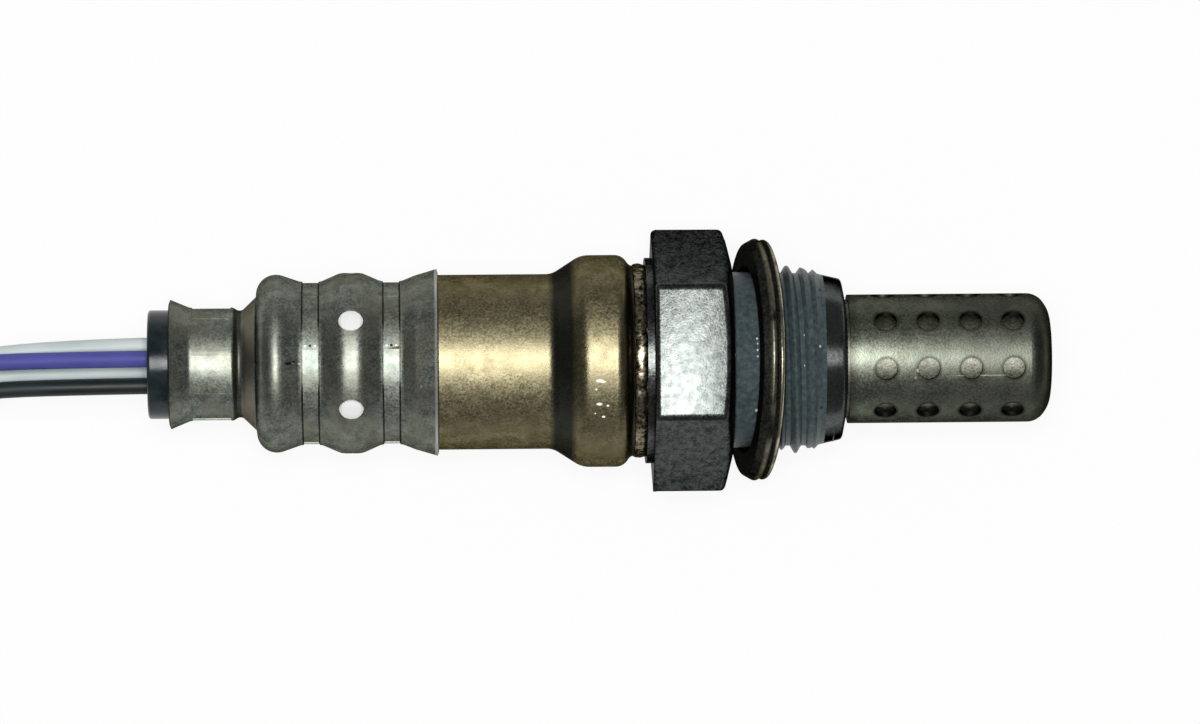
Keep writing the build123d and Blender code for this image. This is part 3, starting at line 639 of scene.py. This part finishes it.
# Filter cover and vent filter. A corrugated cap drawn over the air-side cover, crimped in both
# grooves and round the grommet, with vent holes that show the white porous sleeve under it.
groove_places = (-0.0325, -0.0402)
groove_r = 0.0077
jaw_half_width = 0.0008
dented_r = 0.0084
marked_r = 0.0081
cover_steel, tree, shader, place, colour, sheen, normal = satin_steel(
    "cover_steel",
    dark=(0.12, 0.142, 0.126),
    light=(0.3, 0.322, 0.278),
    patch=0.0011,
    grain=0.0002,
    roughness=(0.38, 0.49),
    bump=0.000008,
)
x = along(tree, place, "X")
clouded = scaled(tree, mottle(tree, place, 0.0035, detail=4), 0.42, 0.6, 0, 0.5)
aged_and_painted_light = mixed(tree, clouded, colour, (0.22, 0.215, 0.165))
shoulder = band(tree, x, -0.0467, -0.04555, 0.00015)
aged_and_painted_light = mixed(tree, worked(tree, "MULTIPLY", shoulder, 0.7), aged_and_painted_light, (0.22, 0.195, 0.15))
# Painted shade in the waist between the neck and the shoulder
waist_shade = band(tree, x, -0.0476, -0.0468, 0.0001)
aged_and_painted_light = mixed(tree, worked(tree, "MULTIPLY", waist_shade, 0.8), aged_and_painted_light, (0.05, 0.048, 0.04))
# Painted highlight along the rim's end edge
rim_highlight = scaled(tree, x, -0.02845, -0.02835, 0, 1)
aged_and_painted_light = mixed(tree, rim_highlight, aged_and_painted_light, (0.5, 0.52, 0.48))

# The crimping jaws dent a line at each side of a groove, with painted shade that is faint on top
jaw_dents_and_shade = 0.0
for groove_x in groove_places:
    for side in (-1, 1):
        edge_x = groove_x + side * jaw_half_width
        jaw_edge = band(tree, x, edge_x - 0.00005, edge_x + 0.00005, 0.00004)
        jaw_dents_and_shade = worked(tree, "MAXIMUM", jaw_edge, jaw_dents_and_shade)
sideways = worked(tree, "ABSOLUTE", along(tree, place, "Y"), 0)
shade_off_top = scaled(tree, sideways, 0.0025, 0.0035, 0.1, 0.8)
jaw_dents_and_shade = worked(tree, "MULTIPLY", jaw_dents_and_shade, shade_off_top)
aged_and_painted_light = mixed(tree, jaw_dents_and_shade, aged_and_painted_light, (0.03, 0.033, 0.03))
# Dents, and pits in the grooves, with painted shade in them
dents_and_shade = marks(
    tree,
    place,
    dented_r,
    (-0.0422, -0.0006, 0.00019, 2.4),
    (-0.0417, -0.0004, 0.00014, 1.6),
)
pits = marks(
    tree,
    place,
    groove_r,
    (-0.0402, 0.0011, 0.00013, 1),
    (-0.0325, 0.0011, 0.00013, 1),
)
dents_and_shade = worked(tree, "MAXIMUM", dents_and_shade, pits)
aged_and_painted_light = mixed(tree, dents_and_shade, aged_and_painted_light, (0.03, 0.03, 0.03))
# Painted glints beside a dent and round the pits, and one bright nick
nick_and_painted_glints = marks(
    tree,
    place,
    marked_r,
    (-0.0413, -0.0006, 0.00016, 1),
    (-0.0297, -0.00287, 0.00015, 1),
    (-0.04065, 0.0011, 0.00014, 1),
    (-0.03975, 0.0011, 0.00014, 1),
    (-0.03295, 0.0011, 0.00014, 1),
    (-0.03205, 0.0011, 0.00014, 1),
)
aged_and_painted_light = mixed(tree, nick_and_painted_glints, aged_and_painted_light, (0.6, 0.62, 0.58))
tree.links.new(aged_and_painted_light, shader.inputs["Base Color"])
dented = worked(tree, "MULTIPLY", worked(tree, "MAXIMUM", dents_and_shade, jaw_dents_and_shade), -1)
tree.links.new(raised(tree, dented, 0.0001, under=normal), shader.inputs["Normal"])
drawn_out(tree, shader, 0.55, turn=0)
dress(cover_steel, "filter_cover")

# The sleeve is pressed from white plastic powder, matt and full of pores
filter_white, tree, shader, place = new_finish("filter_white")
pores = mottle(tree, place, 0.0002, detail=6, roughness=0.7)
filter_tone = shade_between(tree, pores, (0.3, (0.93, 0.94, 0.93)), (0.6, (0.99, 0.99, 0.98)))
tree.links.new(filter_tone, shader.inputs["Base Color"])
tree.links.new(raised(tree, pores, 0.00003), shader.inputs["Normal"])
shader.inputs["Roughness"].default_value = 0.9
dress(filter_white, "vent_filter")

# Grommet. Moulded black rubber, with a bore for each lead. The cover's neck is crimped round it,
# which holds it and seals the wires.
black_rubber, tree, shader, place = new_finish("black_rubber")
bloom = mottle(tree, place, 0.0014, detail=5)
rubber_dark, rubber_light = (0.008, 0.013, 0.016), (0.02, 0.03, 0.033)
rubber_tone = shade_between(tree, bloom, (0.35, rubber_dark), (0.65, rubber_light))
tree.links.new(rubber_tone, shader.inputs["Base Color"])
tree.links.new(scaled(tree, bloom, 0.3, 0.7, 0.2, 0.3), shader.inputs["Roughness"])
shader.inputs["IOR"].default_value = 1.33
rubber_grain = mottle(tree, place, 0.0002)
tree.links.new(raised(tree, rubber_grain, 0.000006), shader.inputs["Normal"])
dress(black_rubber, "lead_grommet")

# Leads. Four insulated wires, 1.6 mm thick, run from the contacts through the grommet's bores.
# What the photograph doesn't show of them is wound up beside the sensor and ends in the plug.
table_z = cad_box[0][2]
lead_thickness = 0.0016
grommet_rear_x = -0.05575
straight_behind_grommet = 0.00425
crimp_x = -0.039
lead_circle = 0.00205
coil_centre_x = -0.098
points_per_turn = 16
coil_turns = 2
spline_pull = cos(pi / points_per_turn)

# Each lead: its angle round the axis from +Z to +Y, the radius of its turns, and its route's
# points (x, y, height over the table) before and after the coil
lead_routes = {
    "violet": {
        "angle": 12.7,
        "turn_radius": 0.0111,
        "before": [
            (-0.0765, 0.0001, 0.0126),
            (-0.0832, -0.0054, 0.0116),
            (-0.0895, -0.0111, 0.01075),
        ],
        "after": [
            (-0.1045, -0.0111, 0.00285),
            (-0.111, -0.011, 0.0042),
            (-0.1164, -0.00615, 0.00785),
            (-0.127, -0.00615, 0.00785),
        ],
    },
    "white_a": {
        "angle": 102.7,
        "turn_radius": 0.0111,
        "before": [
            (-0.0765, 0.0006, 0.0106),
            (-0.0832, -0.0052, 0.0098),
            (-0.0895, -0.0111, 0.009),
        ],
        "after": [
            (-0.1045, -0.0111, 0.0011),
            (-0.111, -0.011, 0.0019),
            (-0.1164, -0.00615, 0.00415),
            (-0.127, -0.00615, 0.00415),
        ],
    },
    "white_b": {
        "angle": 192.7,
        "turn_radius": 0.0129,
        "before": [
            (-0.0762, -0.00105, 0.0095),
            (-0.0828, -0.0072, 0.0092),
            (-0.08895, -0.0129, 0.009),
        ],
        "after": [
            (-0.1045, -0.0129, 0.0011),
            (-0.111, -0.0128, 0.0018),
            (-0.1164, -0.00985, 0.00415),
            (-0.127, -0.00985, 0.00415),
        ],
    },
    "black": {
        "angle": 282.7,
        "turn_radius": 0.0129,
        "before": [
            (-0.076, -0.0025, 0.0115),
            (-0.0826, -0.0076, 0.0111),
            (-0.08895, -0.0129, 0.01075),
        ],
        "after": [
            (-0.1045, -0.0129, 0.00285),
            (-0.111, -0.0128, 0.0043),
            (-0.1164, -0.00985, 0.00785),
            (-0.127, -0.00985, 0.00785),
        ],
    },
}


def lead_points(route):
    """A lead's points: out of its crimp, through the grommet, round the coil and to the plug."""
    angle = radians(route["angle"])
    y, z = lead_circle * sin(angle), lead_circle * cos(angle)
    points = [(crimp_x, y, z), (grommet_rear_x - straight_behind_grommet, y, z)]
    points += [(x, y, table_z + height) for x, y, height in route["before"]]
    top = route["before"][-1][2]
    fall = top - route["after"][0][2]
    steps = points_per_turn * coil_turns
    radius = route["turn_radius"] / spline_pull
    for step in range(steps + 1):
        turn = -pi / 2 - 2 * pi * step / points_per_turn
        turn_x, turn_y = coil_centre_x + radius * cos(turn), radius * sin(turn)
        points.append((turn_x, turn_y, table_z + top - fall * step / steps))
    points += [(x, y, table_z + height) for x, y, height in route["after"]]
    return points


def lead(name, points):
    """A smooth round lead along its points."""
    curve = bpy.data.curves.new(name, "CURVE")
    curve.dimensions = "3D"
    curve.bevel_depth = lead_thickness / 2
    curve.bevel_resolution = 5
    curve.resolution_u = 8
    curve.use_fill_caps = True
    spline = curve.splines.new("NURBS")
    spline.points.add(len(points) - 1)
    for point, place in zip(spline.points, points):
        point.co = (*place, 1)
    spline.order_u = 3
    spline.use_endpoint_u = True
    piece = bpy.data.objects.new(name, curve)
    bpy.context.collection.objects.link(piece)
    return piece


def insulation(name, dark, light, roughness, gloss):
    """Extruded lead insulation, slightly uneven in tone and sheen, with fine lines along it."""
    material, tree, shader, place = new_finish(name)
    cloud = mottle(tree, place, 0.0016, detail=4, stretch=(5, 1, 1))
    tone = shade_between(tree, cloud, (0.35, dark), (0.65, light))
    lines = mottle(tree, place, 0.00025, stretch=(6, 1, 1))
    tree.links.new(tone, shader.inputs["Base Color"])
    tree.links.new(scaled(tree, cloud, 0.3, 0.7, *roughness), shader.inputs["Roughness"])
    tree.links.new(raised(tree, lines, 0.000008), shader.inputs["Normal"])
    shader.inputs["Specular IOR Level"].default_value = gloss
    return material


white_insulation = insulation(
    "white_insulation",
    dark=(0.52, 0.6, 0.58),
    light=(0.66, 0.73, 0.71),
    roughness=(0.45, 0.6),
    gloss=0.4,
)
violet_insulation = insulation(
    "violet_insulation",
    dark=(0.055, 0.062, 0.27),
    light=(0.085, 0.088, 0.37),
    roughness=(0.5, 0.65),
    gloss=0.3,
)
black_insulation = insulation(
    "black_insulation",
    dark=(0.006, 0.011, 0.012),
    light=(0.016, 0.024, 0.024),
    roughness=(0.38, 0.55),
    gloss=0.3,
)
insulations = {
    "violet": violet_insulation,
    "white_a": white_insulation,
    "white_b": white_insulation,
    "black": black_insulation,
}
for name, route in lead_routes.items():
    points = lead_points(route)
    piece = lead("wire_" + name, points)
    piece.data.materials.append(insulations[name])
    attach(piece, "root")
    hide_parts("lead_" + name)
    if name == "black":
        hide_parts("lead_coil")

# Coil tie and plug. A nylon strap holds the coil. The plug's body is glass-filled plastic with the
# fine pebbled face of its mould, the second lock a pale slab, and both seals are red silicone.
tie_nylon, tree, shader, place = new_finish("tie_nylon")
strap_grain = mottle(tree, place, 0.0003, stretch=(1, 3, 3))
strap_dark, strap_light = (0.02, 0.021, 0.022), (0.045, 0.046, 0.048)
strap_tone = shade_between(tree, strap_grain, (0.35, strap_dark), (0.65, strap_light))
tree.links.new(strap_tone, shader.inputs["Base Color"])
tree.links.new(scaled(tree, strap_grain, 0.3, 0.7, 0.38, 0.52), shader.inputs["Roughness"])
strap_teeth = tree.nodes.new("ShaderNodeTexWave")
strap_teeth.bands_direction = "Z"
strap_teeth.inputs["Scale"].default_value = 320
tree.links.new(place, strap_teeth.inputs["Vector"])
tree.links.new(raised(tree, strap_teeth.outputs["Fac"], 0.00006), shader.inputs["Normal"])
dress(tie_nylon, "coil_tie")


def moulded(name, dark, light, roughness, grain, depth):
    """Moulded plastic or rubber: two close tones and the pebbled grain that its mould leaves."""
    material, tree, shader, place = new_finish(name)
    cloud = mottle(tree, place, 0.003, detail=5)
    tone = shade_between(tree, cloud, (0.35, dark), (0.65, light))
    pebbles = mottle(tree, place, grain, detail=2)
    tree.links.new(tone, shader.inputs["Base Color"])
    tree.links.new(scaled(tree, pebbles, 0.3, 0.7, *roughness), shader.inputs["Roughness"])
    tree.links.new(raised(tree, pebbles, depth), shader.inputs["Normal"])
    return material


plug_plastic = moulded(
    "plug_plastic",
    dark=(0.1, 0.105, 0.11),
    light=(0.17, 0.175, 0.185),
    roughness=(0.42, 0.6),
    grain=0.00018,
    depth=0.00002,
)
dress(plug_plastic, "connector_housing")
lock_plastic = moulded(
    "lock_plastic",
    dark=(0.62, 0.62, 0.57),
    light=(0.76, 0.76, 0.71),
    roughness=(0.4, 0.55),
    grain=0.0002,
    depth=0.00001,
)
dress(lock_plastic, "connector_lock")
seal_rubber = moulded(
    "seal_rubber",
    dark=(0.36, 0.08, 0.025),
    light=(0.5, 0.13, 0.04),
    roughness=(0.45, 0.6),
    grain=0.00025,
    depth=0.000015,
)
dress(seal_rubber, "connector_wire_seal", "connector_front_seal")

# Table. A plain white sheet. It glows white to the camera and in what mirrors or transmits it,
# and a tenth of it is lit as any sheet is, which keeps the sensor's soft shadow.
table_size = 4
glowing_share = 0.9
bpy.ops.object.select_all(action="DESELECT")
bpy.ops.mesh.primitive_plane_add(size=table_size, location=(0, 0, table_z))
table = bpy.context.object
table.name = "table"
table_white, tree, shader = new_finish("table_white")[:3]
shader.inputs["Base Color"].default_value = (0.9, 0.9, 0.9, 1)
shader.inputs["Roughness"].default_value = 0.9
shader.inputs["Specular IOR Level"].default_value = 0.0
rays = tree.nodes.new("ShaderNodeLightPath").outputs
seen = worked(tree, "ADD", rays["Is Camera Ray"], rays["Is Glossy Ray"])
seen = worked(tree, "MINIMUM", worked(tree, "ADD", seen, rays["Is Transmission Ray"]), 1)
glow = tree.nodes.new("ShaderNodeEmission")
glow.inputs["Strength"].default_value = 1.0
lit_or_glowing = tree.nodes.new("ShaderNodeMixShader")
tree.links.new(worked(tree, "MULTIPLY", seen, glowing_share), lit_or_glowing.inputs[0])
tree.links.new(shader.outputs[0], lit_or_glowing.inputs[1])
tree.links.new(glow.outputs[0], lit_or_glowing.inputs[2])
tree.links.new(lit_or_glowing.outputs[0], tree.nodes["Material Output"].inputs["Surface"])
table.data.materials.append(table_white)

# Light. One soft square lamp overhead, turned to the middle of the sealing face, and a dim even
# room that fills the shadows.
lamp_data = bpy.data.lights.new("overhead_lamp", "AREA")
lamp_data.shape = "RECTANGLE"
lamp_data.size = 0.3
lamp_data.size_y = 0.3
lamp_data.energy = 7.0
lamp = bpy.data.objects.new("overhead_lamp", lamp_data)
lamp.location = (-0.045, -0.025, 0.9)
lamp.rotation_euler = (radians(1.6), radians(-2.9), 0)
bpy.context.collection.objects.link(lamp)
room = bpy.data.worlds.new("room")
room.use_nodes = True
room.node_tree.nodes["Background"].inputs["Color"].default_value = (0.15, 0.15, 0.15, 1)
bpy.context.scene.world = room

# Camera. It looks down on the sensor and the first stretch of its leads, from a little to the
# left of the picture's middle and below it.
seen_width = 0.11496
camera_distance = 0.68
picture_middle = Vector((-0.01255, -0.0001, 0))
camera_turn = Euler((radians(4.2), radians(-1.6), radians(-0.6)))
camera_data = bpy.data.cameras.new("camera")
camera_data.sensor_width = 36
camera_data.lens = camera_data.sensor_width * camera_distance / seen_width
camera = bpy.data.objects.new("camera", camera_data)
camera.rotation_euler = camera_turn
camera.location = picture_middle + camera_turn.to_matrix() @ Vector((0, 0, camera_distance))
bpy.context.collection.objects.link(camera)
bpy.context.scene.camera = camera
bpy.context.scene.view_settings.view_transform = "Standard"
